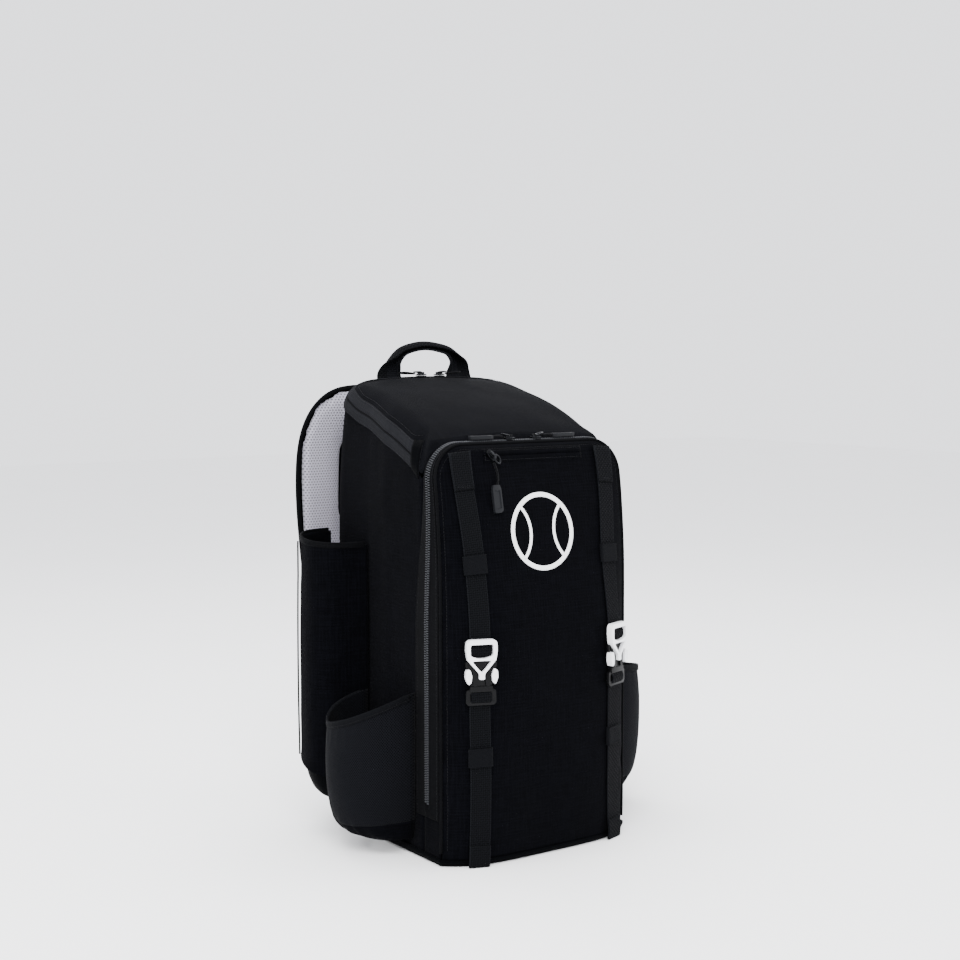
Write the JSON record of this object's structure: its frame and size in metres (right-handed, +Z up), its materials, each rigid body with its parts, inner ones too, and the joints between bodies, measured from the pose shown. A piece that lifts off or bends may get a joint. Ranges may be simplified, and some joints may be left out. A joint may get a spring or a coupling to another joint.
{
  "type": "baseball bat backpack",
  "caption": "Upright sports backpack with a domed zip lid, zip front compartment, front buckle straps, mesh bottle pockets and open bat sleeves at the sides",
  "frame": {"origin": "Middle of the base's flat underside, on the ground", "axes": "X across the bag, -Y towards its front panel, Z up; the bag stands upright on its base"},
  "size_m": [0.4198, 0.3232, 0.5585],
  "materials": {
    "body_cloth": "fine ripstop weave",
    "lid_cloth": "fine ripstop weave",
    "base_cloth": "coated heavy weave",
    "pocket_mesh": "fine mesh",
    "tape": "ribbed tape",
    "zip_coil": "satin",
    "webbing": "woven webbing",
    "air_mesh": "spacer mesh over foam",
    "white_plastic": "smooth",
    "black_plastic": "satin",
    "slider_metal": "dull nickel",
    "grip_rubber": "moulded",
    "print": "matt print"
  },
  "bodies": {
    "root": {"main_compartment": "body_cloth", "base_panel": "base_cloth", "back_panel": "air_mesh", "lid": "lid_cloth", "front_gusset": "body_cloth", "front_panel": "body_cloth", "panel_piping": "tape", "front_zip_tape": "tape", "front_zip_coil": "zip_coil", "lid_zip_tape": "tape", "lid_zip_coil": "zip_coil", "ball_print": "print", "pocket_zip": "tape", "pocket_slider": "slider_metal", "pocket_cord": "webbing", "pocket_grip": "grip_rubber", "front_slider_left": "slider_metal", "front_cord_left": "webbing", "front_grip_left": "grip_rubber", "front_slider_right": "slider_metal", "front_cord_right": "webbing", "front_grip_right": "grip_rubber", "lid_slider_left": "slider_metal", "lid_pull_left": "webbing", "lid_slider_right": "slider_metal", "lid_pull_right": "webbing", "bottle_pocket_left": "pocket_mesh", "bottle_pocket_rim_left": "tape", "bat_sleeve_left": "body_cloth", "bat_sleeve_binding_left": "tape", "strap_upper_left": "webbing", "strap_lower_left": "webbing", "upper_keeper_left": "webbing", "lower_keeper_left": "webbing", "buckle_socket_left": "white_plastic", "buckle_plug_left": "black_plastic", "shoulder_strap_left": "air_mesh", "lower_strap_left": "webbing", "adjuster_left": "black_plastic", "bottle_pocket_right": "pocket_mesh", "bottle_pocket_rim_right": "tape", "bat_sleeve_right": "body_cloth", "bat_sleeve_binding_right": "tape", "strap_upper_right": "webbing", "strap_lower_right": "webbing", "upper_keeper_right": "webbing", "lower_keeper_right": "webbing", "buckle_socket_right": "white_plastic", "buckle_plug_right": "black_plastic", "shoulder_strap_right": "air_mesh", "lower_strap_right": "webbing", "adjuster_right": "black_plastic", "top_handle": "webbing"}
  },
  "joints": []
}
